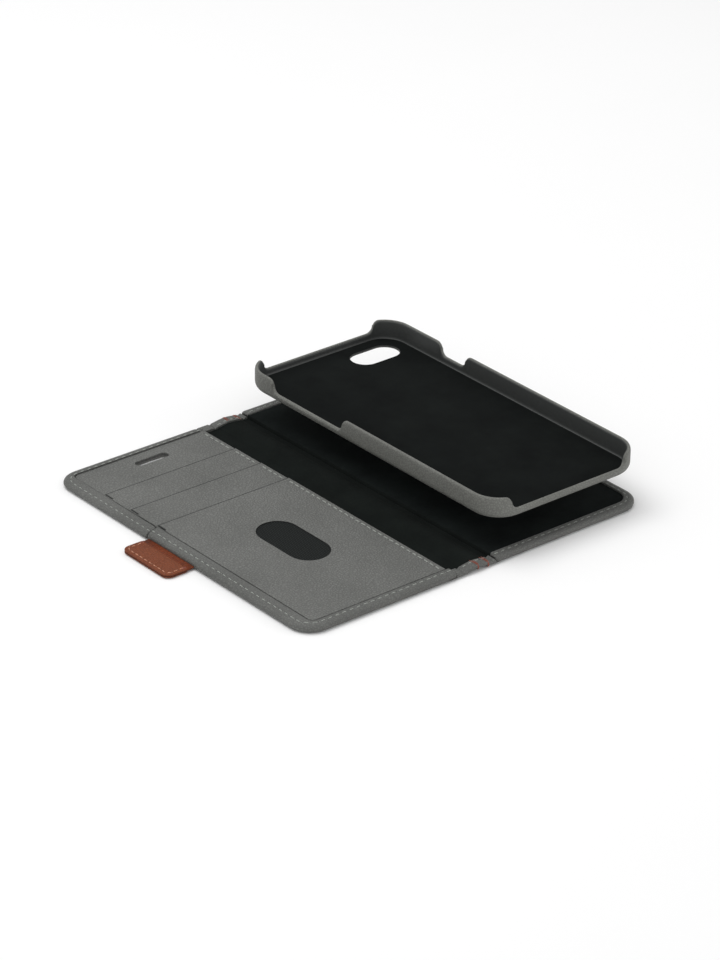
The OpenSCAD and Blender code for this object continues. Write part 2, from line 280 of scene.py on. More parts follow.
# dark plugs for the needle holes: painted shade
NEEDLE_SHADE = grained("painted_hole_shade", rgb(44, 44, 43), rgb(30, 30, 30), 2000, 0.8)
BOARD = grained("fibre_board", rgb(84, 84, 82), rgb(66, 66, 65), 700, 0.85, bump_mm=0.05)
PLASTIC = grained("moulded_plastic", rgb(58, 60, 59), rgb(50, 52, 51), 1800, 0.5)
NICKEL = grained("nickel_plate", rgb(196, 194, 188), rgb(176, 174, 168), 300, 0.28, metallic=1.0)
STEEL = grained("steel_sheet", rgb(150, 152, 154), rgb(134, 136, 138), 220, 0.38, metallic=1.0)


# ---------------------------------------------------------------- mesh helpers

def finish_mesh(name, bm, materials, angle=42):
    """A linked, smooth-shaded object from a bmesh in millimetres."""
    bmesh.ops.recalc_face_normals(bm, faces=bm.faces)
    bmesh.ops.scale(bm, vec=(MM, MM, MM), verts=bm.verts)
    mesh = bpy.data.meshes.new(name)
    bm.to_mesh(mesh)
    bm.free()
    for material in materials:
        mesh.materials.append(material)
    mesh.polygons.foreach_set("use_smooth", [True] * len(mesh.polygons))
    mesh.set_sharp_from_angle(angle=math.radians(angle))
    piece = bpy.data.objects.new(name, mesh)
    bpy.context.scene.collection.objects.link(piece)
    return piece


def add_loft(bm, rings, holes=(), paint=None, rim=0):
    """Joins rings of equal length into a closed skin; holes are stacks of rings through it.

    paint(i, j) gives the material number of the face between rings i and i + 1 at point j, and
    rim that of the holes' walls.
    """
    def make(stack, painter):
        made = [[bm.verts.new(p) for p in ring] for ring in stack]
        for i, (a, b) in enumerate(zip(made, made[1:])):
            for j in range(len(a)):
                k = (j + 1) % len(a)
                face = bm.faces.new((a[j], a[k], b[k], b[j]))
                if painter:
                    face.material_index = painter(i, j)
        return made[0], made[-1]

    ends = [make(rings, paint)] + [make(hole, lambda i, j: rim) for hole in holes]
    for side in (0, 1):
        edges = []
        for pair in ends:
            loop = pair[side]
            for a, b in zip(loop, loop[1:] + loop[:1]):
                edges.append(bm.edges.get((a, b)) or bm.edges.new((a, b)))
        bmesh.ops.triangle_fill(bm, use_beauty=True, use_dissolve=False, edges=edges)


def loft(name, rings, materials, holes=(), paint=None, angle=42, rim=0):
    """add_loft's skin as an object of its own."""
    bm = bmesh.new()
    add_loft(bm, rings, holes, paint, rim)
    return finish_mesh(name, bm, materials, angle)


def quarter_turn(steps):
    """Angles from 0 to 90 degrees, in radians."""
    return [math.pi / 2 * i / steps for i in range(steps + 1)]


def circle(sides):
    """(cosine, sine) pairs round a circle."""
    return [(math.cos(a), math.sin(a)) for a in (2 * math.pi * k / sides for k in range(sides))]


def arc(cx, cy, r, start, end, steps):
    """Points on an arc, in degrees, both ends included."""
    angles = [math.radians(start + (end - start) * i / steps) for i in range(steps + 1)]
    return [(cx + r * math.cos(a), cy + r * math.sin(a)) for a in angles]


def outline(x0, x1, y0, y1, radii, steps=12):
    """A closed rounded rectangle; radii go round from (x0, y0) anticlockwise."""
    corners = [(x0, y0, 180, 1, 1), (x1, y0, 270, -1, 1), (x1, y1, 0, -1, -1), (x0, y1, 90, 1, -1)]
    points = []
    for (x, y, start, sx, sy), r in zip(corners, radii):
        if r <= 0:
            points.append((x, y))
        else:
            points += arc(x + sx * r, y + sy * r, r, start, start + 90, steps)
    return points


def inset_outline(x0, x1, y0, y1, radii, sides=(1, 1, 1, 1)):
    """A function of the inset: the outline drawn in by it on each side that sides marks (x0 x1 y0 y1)."""
    def at(d):
        return outline(x0 + d * sides[0], x1 - d * sides[1], y0 + d * sides[2], y1 - d * sides[3],
                       [max(r - d, 0.05) if r > 0 else 0 for r in radii])
    return at


def edge_profile(z0, z1, low_r, top_r):
    """(inset, z) from the underside, round the edge, to the top."""
    low = [(low_r * (1 - math.sin(a)), z0 + low_r * (1 - math.cos(a))) for a in quarter_turn(4)]
    top = [(top_r * (1 - math.cos(a)), z1 - top_r * (1 - math.sin(a))) for a in quarter_turn(4)]
    return low + top


def at_heights(shape, profile):
    """The rings of shape(inset) for each (inset, z) of a profile."""
    return [[(x, y, z) for x, y in shape(d)] for d, z in profile]


def long_hole(cx, cy, length, width, along_y=False, steps=14):
    """A function of the growth: a hole with round ends."""
    def at(grow):
        r, half = width / 2 + grow, (length - width) / 2
        points = arc(half, 0, r, -90, 90, steps) + arc(-half, 0, r, 90, 270, steps)
        return [(cx - y, cy + x) if along_y else (cx + x, cy + y) for x, y in points]
    return at


def slab(name, shape, z0, z1, material, holes=(), low_r=0.1, top_r=0.15, hole_r=0.12, edge=None):
    """A flat piece with rounded edges and rounded holes; edge gives its own (inset, z) profile."""
    rings = at_heights(shape, edge or edge_profile(z0, z1, low_r, top_r))
    stacks = [at_heights(hole, edge_profile(z0, z1, hole_r, hole_r)) for hole in holes]
    return loft(name, rings, [material], stacks)


def stand_in(nodes):
    """Hides the CAD nodes that a piece stands for."""
    if nodes:
        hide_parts(*nodes)


def ride(piece, body, nodes):
    """Fixes a piece to one body."""
    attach(piece, body)
    stand_in(nodes)


def blend(piece, nodes):
    """Bakes a piece's place into its mesh and hides the CAD nodes it stands for."""
    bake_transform(piece)
    stand_in(nodes)


# ---------------------------------------------------------------- thread

def add_stitch(bm, x, y, z, angle, length=STITCH, width=0.19, height=0.16):
    """One stitch: a short bowed thread whose ends go down into the leather."""
    steps, sides = 8, 6
    end_depth, bow, thin_end, slip = 0.13, 0.17, 0.25, 7
    angle += rng.uniform(-slip, slip)
    direction = Vector((math.cos(math.radians(angle)), math.sin(math.radians(angle)), 0))
    across = Vector((-direction.y, direction.x, 0))
    rings = []
    for i in range(steps + 1):
        t = i / steps * 2 - 1
        swell = math.sqrt(max(0.0, 1 - t ** 4)) * (1 - thin_end) + thin_end
        centre = Vector((x, y, z - end_depth + bow * (1 - t ** 4))) + direction * (t * length / 2)
        rings.append([centre + across * (width * swell * c) + Vector((0, 0, height * swell * up))
                      for c, up in circle(sides)])
    add_loft(bm, rings)


def add_hole_shade(bm, x, y, z):
    """A dark, shallow, rounded plug set into the surface, in the piece's second material: painted shade in a
    needle hole.
    """
    radius = 0.34
    rings = [[(x + r * c, y + r * s, z + dz) for c, s in circle(8)]
             for r, dz in ((radius * 0.5, -0.2), (radius, -0.08), (radius, 0.0), (radius * 0.5, 0.035))]
    add_loft(bm, rings, paint=lambda i, j: 1)


def stitches(name, places, thread, **shape):
    """A row of stitches from (x, y, z, angle), with a needle hole of painted shade after each."""
    bm = bmesh.new()
    for x, y, z, angle in places:
        add_stitch(bm, x, y, z, angle, **shape)
    reach = PITCH / 2
    for x, y, z, angle in places:
        a = math.radians(angle)
        add_hole_shade(bm, x + reach * math.cos(a), y + reach * math.sin(a), z - 0.02)
    return finish_mesh(name, bm, [thread, NEEDLE_SHADE], SOFT_EDGE)


def add_tube(bm, path, radius, sides=7):
    """A thread along a list of points, thinner at its two ends."""
    thin_end = 0.55
    points = [Vector(p) for p in path]
    rings = []
    for i, p in enumerate(points):
        ahead = (points[min(i + 1, len(points) - 1)] - points[max(i - 1, 0)]).normalized()
        side = ahead.orthogonal().normalized() if i == 0 else (side - ahead * side.dot(ahead)).normalized()
        up = ahead.cross(side)
        r = radius * (thin_end if i in (0, len(points) - 1) else 1)
        rings.append([p + side * (r * c) + up * (r * s) for c, s in circle(sides)])
    add_loft(bm, rings)


def walk(points, step, first=None):
    """(x, y, angle) every step along a polyline; first is the first one's distance, or half a step."""
    out, carried = [], step / 2 if first is None else first
    for (xa, ya), (xb, yb) in zip(points, points[1:]):
        length = math.hypot(xb - xa, yb - ya)
        while carried <= length:
            t = carried / length
            out.append((xa + (xb - xa) * t, ya + (yb - ya) * t, math.degrees(math.atan2(yb - ya, xb - xa))))
            carried += step
        carried -= length
    return out


# ---------------------------------------------------------------- turned edges

def u_path(x_end, x_side, y0, y1, r, cuts=10):
    """The two halves of an open U from (x_end, y0) round x_side to (x_end, y1).

    x_side is left of x_end for the front cover and right of it for the back cover. The number of
    points is the same for any size.
    """
    s = 1 if x_side < x_end else -1
    corner = x_side + s * r
    low = [(x_end + (corner - x_end) * i / cuts, y0) for i in range(cuts)]
    turn_low = [(corner - s * r * math.sin(a), y0 + r - r * math.cos(a)) for a in quarter_turn(14)]
    turn_top = [(corner - s * r * math.cos(a), y1 - r + r * math.sin(a)) for a in quarter_turn(14)]
    top = [(corner + (x_end - corner) * (i + 1) / cuts, y1) for i in range(cuts)]
    return low + turn_low, turn_top + top


def side_points(x, y0, y1, count):
    """The points between two ends of a straight length along Y, without its ends."""
    return [(x, y0 + (y1 - y0) * i / count) for i in range(1, count)]


# the rounded underside of every outer edge, as (inset, height)
UNDERSIDE = ((1.7, 0.0), (1.1, 0.06), (0.7, 0.17), (0.42, 0.34), (0.27, 0.52))
EDGE_SINK = 0.25       # how far the outer edge draws in where the two leathers meet


def band_profile(top, base):
    """The turned edge's section round the board, whose top is at base.

    It is a list of ("o", inset from the outside, z) and ("i", distance from the field inside, z).
    """
    across, down, wall, clear = 1.8, 1.3, 1.3, 0.02
    nose = [("o", across * (1 - math.cos(a)), top - down * (1 - math.sin(a))) for a in quarter_turn(9)]
    groove = [("o", STITCH_INSET + dx, top + dz)
              for dx, dz in ((-0.62, -0.01), (-0.34, -0.08), (0, -0.16), (0.34, -0.08), (0.62, -0.01))]
    inner = [("i", 0.42, top - 0.01), ("i", 0.22, top - 0.08), ("i", 0.1, top - 0.24),
             ("i", 0.07, base + clear)]
    under = [("o", wall, base + clear), ("o", wall, AXIS_Z + clear)]
    side = [("o", EDGE_SINK, AXIS_Z), ("o", EDGE_SINK * 0.3, (AXIS_Z + top - down) / 2)]
    return side + nose + groove + inner + under


# how a lapped end comes down, as (distance from the end, drop); only what is above LAP_Z does
LAP = ((0.0, 0.6), (0.07, 0.34), (0.24, 0.15), (0.55, 0.04), (0.9, 0.0))
LAP_Z = AXIS_Z + 0.9


def band(name, outer, inner, profile, dark_dye_and_shade=()):
    """Sweeps a turned edge's section along two matching paths, both of which are lapped at their ends.

    outer(inset) and inner(distance) give the paths. The edges named in the last argument, the path's "last"
    end and the edge "inside", are painted dark: dye on the cut edge and painted shade for the dark lines at
    the seam and the field.
    """
    paths = [(outer if kind == "o" else inner)(d) for kind, d, _ in profile]
    heights = [z for _, _, z in profile]
    rings = [[(*path[i], z) for path, z in zip(paths, heights)] for i in range(len(paths[0]))]
    rings = lapped_end(rings[0], rings[1]) + rings[1:-1] + lapped_end(rings[-1], rings[-2])[::-1]
    last = range(len(rings) - len(LAP) + 1, len(rings) - 1)
    inside = [j for j, (kind, _, _) in enumerate(profile) if kind == "i"][:2]

    def paint(i, j):
        return int(("last" in dark_dye_and_shade and i in last) or ("inside" in dark_dye_and_shade and j in inside))
    # the turned edge is the darker grey of painted shade
    return loft(name, rings, [SHADED_TURNED_GREY, DYE_AND_SHADE_EDGE_GREY], paint=paint)


def lapped_end(end, near):
    """The rings that round a swept end down like a skived edge, from the end towards the next ring."""
    length = math.dist(end[0], near[0])
    made = []
    for distance, drop in LAP:
        ring = [Vector(p).lerp(Vector(q), distance / length) for p, q in zip(end, near)]
        middle = sum(ring, Vector()) / len(ring)
        made.append([(p.x + (middle.x - p.x) * drop * 0.5, p.y + (middle.y - p.y) * drop * 0.5,
                      p.z - (drop if p.z > LAP_Z else 0)) for p in ring])
    return made


LOWER_END = band_low.x1
UPPER_END = LOWER_END - 3.2     # the upper length stops sooner at the crease
SEAM_Y = band_low.y1            # where the two lengths meet, at the inside
SEAM_SLANT = 1.9                # the seam leans down the cover on its way out
SEAM_GAPS = (0.12, 0.18)        # from the seam to the lower and to the upper length


def front_paths(part):
    """outer(inset) and inner(distance) for the front cover's upper or lower turned edge."""
    x_end = LOWER_END if part == "lower" else UPPER_END
    band_width = panel.x0 - front.x0

    def cut(low, top, x, seam):
        if part == "lower":
            end = seam - SEAM_GAPS[0]
            return low + side_points(x, low[-1][1], end, 12) + [(x, end)]
        start = seam + SEAM_GAPS[1]
        return [(x, start)] + side_points(x, start, top[0][1], 8) + top

    def outer(d):
        low, top = u_path(x_end, front.x0 + d, front.y0 + d, front.y1 - d, FRONT_CORNER_R - d)
        return cut(low, top, front.x0 + d, SEAM_Y - SEAM_SLANT * max(0.0, 1 - d / band_width))

    def inner(d):
        low, top = u_path(x_end, panel.x0 - d, panel.y0 - d, panel.y1 + d, FRONT_INNER_R + d)
        return cut(low, top, panel.x0 - d, SEAM_Y)

    return outer, inner


def back_paths(x_end):
    """outer(inset) and inner(distance) for the back cover's turned edge."""
    def join(low, top, x):
        return low + side_points(x, low[-1][1], top[0][1], 20) + top

    def outer(d):
        low, top = u_path(x_end, back.x1 - d, back.y0 + d, back.y1 - d, BACK_CORNER_R - d)
        return join(low, top, back.x1 - d)

    def inner(d):
        low, top = u_path(x_end, plate.x1 + d, plate.y0 - d, plate.y1 + d, BACK_INNER_R + d)
        return join(low, top, plate.x1 + d)

    return outer, inner


# ---------------------------------------------------------------- front cover

SLIT, SLIT_W = 5.2, 0.38        # the slit that frees a card pocket's mouth at the side
HINGE_SEAM_INSET = 1.65         # from the field's edge by the crease to its stitching


def make_front_cover():
    outside = inset_outline(front.x0, FRONT_CREASE - FRONT_BEND, front.y0, front.y1,
                            [FRONT_CORNER_R, 0, 0, FRONT_CORNER_R], sides=(1, 0, 1, 1))
    ear_hole = long_hole(*EAR_SLOT)
    skin = slab("front_outer_leather_skin", outside, front.z0, front.z1, GREY, [ear_hole],
                edge=UNDERSIDE + ((EDGE_SINK, front.z1),))
    ride(skin, "front_cover", ["front_outer_leather"])

    # the lower length's lapped end at the seam and both lengths' inside edges are painted dark: dye and
    # painted shade
    for part, box, dark_dye_and_shade in (("lower", band_low, ("last", "inside")), ("upper", band_up, ("inside",))):
        turned = band("front_edge_" + part, *front_paths(part), band_profile(box.z1, front_board.z1), dark_dye_and_shade)
        ride(turned, "front_cover", ["front_edge_band_" + part])

    field = inset_outline(panel.x0 + FIELD_GAP, panel.x1, panel.y0 + FIELD_GAP, panel.y1 - FIELD_GAP,
                          [FRONT_INNER_R, 0, 0, FRONT_INNER_R])
    ride(slab("inner_panel_skin", field, panel.z0, panel.z1, GREY, [ear_hole], top_r=0.18),
         "front_cover", ["inner_panel_leather"])

    for name, box in (("card_pocket_top", pocket_top), ("card_pocket_middle", pocket_mid)):
        ride(pocket_leaf(name + "_leaf", box.y0, box.y1, box.z0, box.z1), "front_cover", [name])
    hole = long_hole(*WINDOW, along_y=True)
    ride(pocket_leaf("window_leaf", leaf.y0 + FIELD_GAP, leaf.y1, leaf.z0, leaf.z1, FRONT_INNER_R, [hole]),
         "front_cover", ["window_pocket_leather"])
    make_window_cloth()


def make_window_cloth():
    """The black cloth behind the window, with slight waves."""
    glue, wave, thickness = 0.5, 0.01, 0.08
    backing = cloth_sheet("window_cloth", cloth.x0 + glue, cloth.x1 - glue, cloth.y0, cloth.y1,
                          lambda x, y: cloth.z1 - wave * (1 + math.sin(x / 3.1) * math.cos(y / 4.3)),
                          thickness, CLOTH)
    ride(backing, "front_cover", ["window_backing_cloth"])


def pocket_leaf(name, y0, y1, z0, z1, r=0.0, holes=()):
    """A pocket leaf. Its mouth at y1 is cut; a slit runs down from it along the side. The mouth, the slit's
    edge and the holes' walls are painted dark: dye on the cut edge and painted shade for the dark lines at
    the steps and round the window.
    """
    x0, x1 = panel.x0 + FIELD_GAP, panel.x1
    lift, crown = 0.01, 0.003       # off the leaf below, and towards its own middle

    def shape(d):
        low = arc(x0 + r, y0 + r, r - d, 180, 270, 10) if r else [(x0 + d, y0 + d)]
        right = [(x1 - d, y0 + d), (x1 - d, y1 - d)]
        left = [(x0 + SLIT_W + d, y1 - d), (x0 + SLIT_W + d, y1 - SLIT + 0.6), (x0 + d, y1 - SLIT)]
        return low + right + left

    mouth = len(shape(0)) - 4       # the number of the mouth's edge; the slit's comes next

    # the mouth and the slit's edge take the dark cut-edge grey: dye and painted shade
    def paint(i, j):
        return int(j in (mouth, mouth + 1))
    rings = at_heights(shape, edge_profile(z0 + lift, z1, 0.1, 0.16) + [(0.5, z1 + crown)])
    stacks = [at_heights(hole, edge_profile(z0 + lift, z1 + crown, 0.14, 0.14)) for hole in holes]
    return loft(name, rings, [GREY, DYE_AND_SHADE_EDGE_GREY], stacks, paint, rim=1)


def cloth_sheet(name, x0, x1, y0, y1, top, thickness, material, xs=None, count=(24, 40)):
    """A thin sheet of cloth on a grid; top(x, y) is its upper face, and xs its columns if uneven."""
    xs = xs or [x0 + (x1 - x0) * i / count[0] for i in range(count[0] + 1)]
    ys = [y0 + (y1 - y0) * i / count[1] for i in range(count[1] + 1)]
    bm = bmesh.new()
    faces = [[[bm.verts.new((x, y, top(x, y) - dz)) for y in ys] for x in xs] for dz in (0, thickness)]
    for grid in faces:
        for a, b in zip(grid, grid[1:]):
            for j in range(len(ys) - 1):
                bm.faces.new((a[j], b[j], b[j + 1], a[j + 1]))
    over, under = (grid[0] + [row[-1] for row in grid[1:]] + grid[-1][-2::-1]
                   + [row[0] for row in grid[-2:0:-1]] for grid in faces)
    for j in range(len(over)):
        k = (j + 1) % len(over)
        bm.faces.new((over[j], over[k], under[k], under[j]))
    return finish_mesh(name, bm, [material], SOFT_EDGE)


def make_front_stitching():
    places = []
    for part, box, sink in (("lower", band_low, 0.1), ("upper", band_up, 0.19)):
        outer, _ = front_paths(part)
        places += [(x, y, box.z1 - sink, angle) for x, y, angle in walk(outer(STITCH_INSET), PITCH)]
    ride(stitches("front_edge_thread", places, THREAD), "front_cover", ["front_perimeter_stitching"])

    # the seam by the crease steps down from leaf to leaf and starts afresh after each step
    x, margin, lift = panel.x1 - HINGE_SEAM_INSET, 1, 0.03
    places, y0 = [], panel.y0
    for step in (leaf, pocket_mid, pocket_top, panel):
        places += [(x, y, step.z1 + lift, 90) for _, y, _ in walk([(x, y0 + margin), (x, step.y1)], PITCH)
                   if y < step.y1 - margin]
        y0 = step.y1
    ride(stitches("front_hinge_thread", places, THREAD, length=2.25, width=0.21), "front_cover",
         ["front_hinge_stitching"])


# ---------------------------------------------------------------- spine and creases

ARCH = 0.65                     # how far the spine bows up
LEATHER_TOP = 0.66              # top of the spine's leather, above its underside
END_RISE = 1.95                 # top of the leather turned over at the spine's two ends
EDGE_TURN = spine.y1 - Box("spine_lining").y1
ACCENT_ROWS = (FRONT_CREASE + 6.4, FRONT_CREASE + 11.0)
LINING_CLIMB = plate.x0 - 0.35  # where the black lining starts to climb the back plate's edge


def arch(x):
    """The spine's bow at x, which is nothing outside its creases."""
    t = (x - FRONT_CREASE) / (BACK_CREASE - FRONT_CREASE)
    return ARCH * math.sin(math.pi * t) ** 2 if 0 < t < 1 else 0.0


def crease_xs(x0, x1):
    """Places along X, close together near a crease."""
    fine, coarse, near = 0.16, 0.5, 2.4
    xs, x = [x0], x0
    while x < x1 - 0.05:
        x = min(x + (fine if crease_distance(x) < near else coarse), x1)
        xs.append(x)
    return xs


def crease_distance(x):
    return min(abs(x - FRONT_CREASE), abs(x - BACK_CREASE))


def dip(depth, reach, distance):
    """How far a surface sinks at this distance from a low place, which is depth deep."""
    return depth * max(0.0, 1 - distance / reach) ** 1.5


def spine_section(x, depths):
    """The spine leather's section at x, from its underside at one end round to the other's.

    Its two ends (high Y, low Y) are turned over where depths, the distance inside the turned stretch,
    isn't negative. The turned leather sinks at a crease and at that stretch's start.
    """
    y1, z = spine.y1, arch(x)
    pinch = dip(0.6, 1.1, crease_distance(x))
    ends = []
    for depth in depths:
        turned = depth >= 0
        sink = dip(0.75, 0.8, depth)
        top = z + (END_RISE - max(pinch, sink) if turned else LEATHER_TOP)
        r_top = 0.85 if turned else 0.07
        end = [(y1 - inset, z + height) for inset, height in UNDERSIDE]
        end += [(y1 - r_top * (1 - math.cos(a)), top - r_top * (1 - math.sin(a))) for a in quarter_turn(4)]
        end += [(y1 - EDGE_TURN + 0.25, top), (y1 - EDGE_TURN + 0.05, top - 0.12 if turned else top),
                (y1 - EDGE_TURN, min(z + 0.6, top - 0.02))]
        ends.append(end)
    return [(x, y, h) for y, h in ends[0]] + [(x, -y, h) for y, h in reversed(ends[1])]


def make_spine():
    gap = 0.15          # between the covers' turned edges and the spine's own
    halves = (("front", FRONT_CREASE - FRONT_BEND, SPINE_MID, FRONT_CREASE, "front_cover", "spine",
               (UPPER_END + gap, LOWER_END + gap)),
              ("back", SPINE_MID, BACK_CREASE + BACK_BEND, BACK_CREASE, "spine", "back_cover",
               (plate.x0 - gap, plate.x0 - gap)))
    for side, x0, x1, crease, a, b, turns in halves:
        xs = sorted(crease_xs(x0, x1) + [t + d for t in set(turns) for d in (-0.01, 0.01, 0.25, -0.25)])
        rings = [spine_section(x, [x - t if side == "front" else t - x for t in turns]) for x in xs]
        turned = range(len(UNDERSIDE) - 1, len(rings[0]) - len(UNDERSIDE))
        # the turned ends take the darker grey: painted shade
        piece = loft("spine_leather_" + side, rings, [GREY, SHADED_TURNED_GREY],
                     paint=lambda i, j: int(j in turned))
        blend(piece, ["spine_outer_leather", "spine_end_bindings"])

    in_x, y, low, high = 0.9, spine_board.y1 - 0.6, 0.6, 0.93
    rings = [[(x, side * y, arch(x) + z) for side, z in ((-1, low), (1, low), (1, high), (-1, high))]
             for x in crease_xs(spine_board.x0 + in_x, spine_board.x1 - in_x)]
    ride(loft("spine_stiffener", rings, [BOARD]), "spine", ["spine_board"])
    make_crease_lining()


def lining_top(x):
    """The black lining's upper face: low in the creases, over the board, and up onto the back plate."""
    low, high, slope, margin = 0.95, 1.19, 1.1, 0.1
    from_board = min(x - spine_board.x0, spine_board.x1 - x) - margin
    rise = min(max(from_board / slope, 0), 1)
    rise = rise * rise * (3 - 2 * rise)
    z = arch(x) + low + (high - low) * rise
    if x > LINING_CLIMB:
        t = min((x - LINING_CLIMB) / 0.55, 1)
        z += (plate.z1 - 0.01 - low) * math.sin(t * math.pi / 2) ** 0.8
    return z


def make_crease_lining():
    y, thickness = spine.y1 - EDGE_TURN + 0.3, 0.22
    for side, x0, x1, crease, a, b, nodes, rest in (
            ("front", panel.x1 - 0.5, SPINE_MID, FRONT_CREASE, "front_cover", "spine",
             ["front_lining_strip", "spine_lining"], "spine_leather_front"),
            ("back", SPINE_MID, plate.x0 + 0.7, BACK_CREASE, "spine", "back_cover",
             ["spine_lining"], "spine_leather_back")):
        xs = crease_xs(x0, x1)
        if side == "back":
            xs = sorted(set(xs + [LINING_CLIMB + 0.05 * i for i in range(12)]))
        piece = cloth_sheet("crease_lining_" + side, x0, x1, -y, y, lambda x, _: lining_top(x), thickness,
                            BLACK, xs=xs, count=(1, 24))
        blend(piece, nodes)
        width = sum(math.dist((p, lining_top(p)), (q, lining_top(q))) for p, q in zip(xs, xs[1:]))


def make_spine_thread():
    """Two orange rows under the spine, whose ends come up round its two ends, and the grey seams there."""
    end_inset, sink, radius = 2.2, 0.02, 0.17
    bm = bmesh.new()
    for x in ACCENT_ROWS:
        for _, y, _ in walk([(x, spine.y0 + end_inset), (x, spine.y1 - end_inset)], PITCH):
            add_stitch(bm, x, y, 0.0, 90)
    for vert in bm.verts:
        vert.co.z = arch(vert.co.x) - vert.co.z + sink
    for x in ACCENT_ROWS:
        for s in (-1, 1):
            for shift in (-0.45, 0.35):
                add_tube(bm, [(px, s * py, pz) for px, py, pz in end_loop(x, shift)], radius)
    piece = finish_mesh("spine_accent_thread", bm, [ORANGE_THREAD], SOFT_EDGE)
    ride(piece, "spine", ["spine_accent_stitching"])

    count, in_x, in_y, sink = 4, 1.3, 3.1, 0.06
    places = []
    for s in (-1, 1):
        for i in range(count):
            x = FRONT_CREASE + in_x + (i + 0.5) * (BACK_CREASE - FRONT_CREASE - 2 * in_x) / count
            places.append((x, s * (spine.y1 - in_y), arch(x) + END_RISE - sink, 0))
    ride(stitches("spine_end_thread", places, THREAD, length=1.9), "spine", ["spine_end_stitching"])


def end_loop(x, shift):
    """A thread's way from under the spine round its end to a place on top that is shift along X."""
    bottom, top, edge = arch(x), arch(x) + END_RISE, spine.y1
    last = EDGE_TURN + rng.uniform(-0.6, 0.5)
    return [(x, edge - 2.6, bottom + 0.05), (x, edge - 1.0, bottom - 0.06), (x, edge - 0.3, bottom + 0.1),
            (x + shift * 0.2, edge + 0.08, bottom + 0.6), (x + shift * 0.4, edge - 0.08, top - 0.6),
            (x + shift * 0.6, edge - 0.7, top + 0.03), (x + shift * 0.8, edge - last * 0.6, top + 0.1),
            (x + shift, edge - last, top - 0.05)]


# ---------------------------------------------------------------- back cover

def make_back_cover():
    outside = inset_outline(BACK_CREASE + BACK_BEND, back.x1, back.y0, back.y1,
                            [0, BACK_CORNER_R, BACK_CORNER_R, 0], sides=(0, 1, 1, 1))
    hole = long_hole(*CAMERA_HOLE)
    skin = slab("back_outer_leather_skin", outside, back.z0, back.z1, GREY, [hole],
                edge=UNDERSIDE + ((EDGE_SINK, back.z1),))
    ride(skin, "back_cover", ["back_outer_leather"])
    outer, inner = back_paths(plate.x0)
    turned = band("back_edge", outer, inner, band_profile(back_band.z1, back_board.z1))
    ride(turned, "back_cover", ["back_edge_band"])

    gap, spine_gap = 0.02, 0.25
    field = inset_outline(plate.x0 + spine_gap, plate.x1 - gap, plate.y0 + gap, plate.y1 - gap,
                          [0.3, BACK_INNER_R, BACK_INNER_R, 0.3])
    # the back plate's lighter suede: painted light
    lining = slab("back_plate_lining", field, plate.z0, plate.z1, PAINTED_LIGHT_SUEDE, [hole], top_r=0.14)
    ride(lining, "back_cover", ["back_lining"])

    sink = 0.13
    places = [(x, y, back_band.z1 - sink, angle) for x, y, angle in walk(outer(STITCH_INSET), PITCH)]
    ride(stitches("back_edge_thread", places, THREAD), "back_cover", ["back_stitching"])


# ---------------------------------------------------------------- closure tab

TAB_R = 3.0
TAB_IN = tab_top.x1
TAB_TIP = tab_top.x0 - 0.8      # a little further out than the CAD's


def make_tab():
    for name, box, node, low_r, top_r in (("tab_top_skin", tab_top, "tab_top_leather", 0.06, 0.26),
                                          ("tab_bottom_skin", tab_low, "tab_bottom_leather", 0.26, 0.06)):
        shape = inset_outline(TAB_TIP, TAB_IN, box.y0, box.y1, [TAB_R, 0.7, 0.7, TAB_R])
        ride(slab(name, shape, box.z0, box.z1, TAN, low_r=low_r, top_r=top_r), "closure_tab", [node])
    recess = 0.16
    shape = inset_outline(TAB_TIP + recess, TAB_IN - 0.1, tab_low.y0 + recess, tab_low.y1 - recess,
                          [TAB_R - 0.15, 0.6, 0.6, TAB_R - 0.15])
    ride(slab("tab_core", shape, tab_low.z1, tab_top.z0, TAN_EDGE, low_r=0.04, top_r=0.04),
         "closure_tab", ["tab_stiffener"])
    make_tab_strap()
    make_tab_stitching()


def make_tab_strap():
    """The strap from the tab into the cover's edge, with small creases across its fold."""
    y0, y1, edge = strap.y0 - 0.3, strap.y1 + 0.6, 0.14
    x, end = TAB_IN - 0.6, front.x0 + 6.0
    fine, coarse = 0.12, 1.0
    rings = []
    while x <= end:
        t = min(max((x - TAB_IN) / (front.x0 - TAB_IN), 0), 1)
        z = 0.48 + 0.22 * t - 0.1 * math.sin(math.pi * t)
        thick = 0.72 - 0.32 * t + 0.09 * math.sin(t * math.pi * 5) * (1 - t)
        rings.append([(x, y0, z + edge), (x, y0 + edge, z), (x, y1 - edge, z), (x, y1, z + edge),
                      (x, y1, z + thick - edge), (x, y1 - edge, z + thick), (x, y0 + edge, z + thick),
                      (x, y0, z + thick - edge)])
        x += fine if x < front.x0 + 0.4 else coarse
    fold = loft("tab_fold_strap", rings, [TAN_FOLD], angle=SOFT_EDGE)
    blend(fold, ["tab_anchor_strap"])


def make_tab_stitching():
    """The seam round three sides, and a bar tack of orange thread at each end of the fourth."""
    inset, pitch = 1.5, 2.55
    low, top = u_path(TAB_IN - 0.4, TAB_TIP + inset, tab_top.y0 + inset, tab_top.y1 - inset, TAB_R - 1.2,
                      cuts=4)
    places = [(x, y, tab_top.z1, angle) for x, y, angle in walk(low + top, pitch, 1.3)]
    ride(stitches("tab_thread", places, TAN_THREAD, length=1.5, height=0.17), "closure_tab",
         ["tab_stitching"])

    tack_x, tack_inset = TAB_IN - 0.9, 1.2
    bm = bmesh.new()
    for y in (tab_top.y0 + tack_inset, tab_top.y1 - tack_inset):
        for shift in (-0.7, 0.0, 0.7):
            add_stitch(bm, tack_x + shift, y, tab_top.z1, 80 + shift * 20, 1.5, 0.2, 0.17)
    ride(finish_mesh("tab_bar_tacks", bm, [ORANGE_THREAD], SOFT_EDGE), "closure_tab", ())


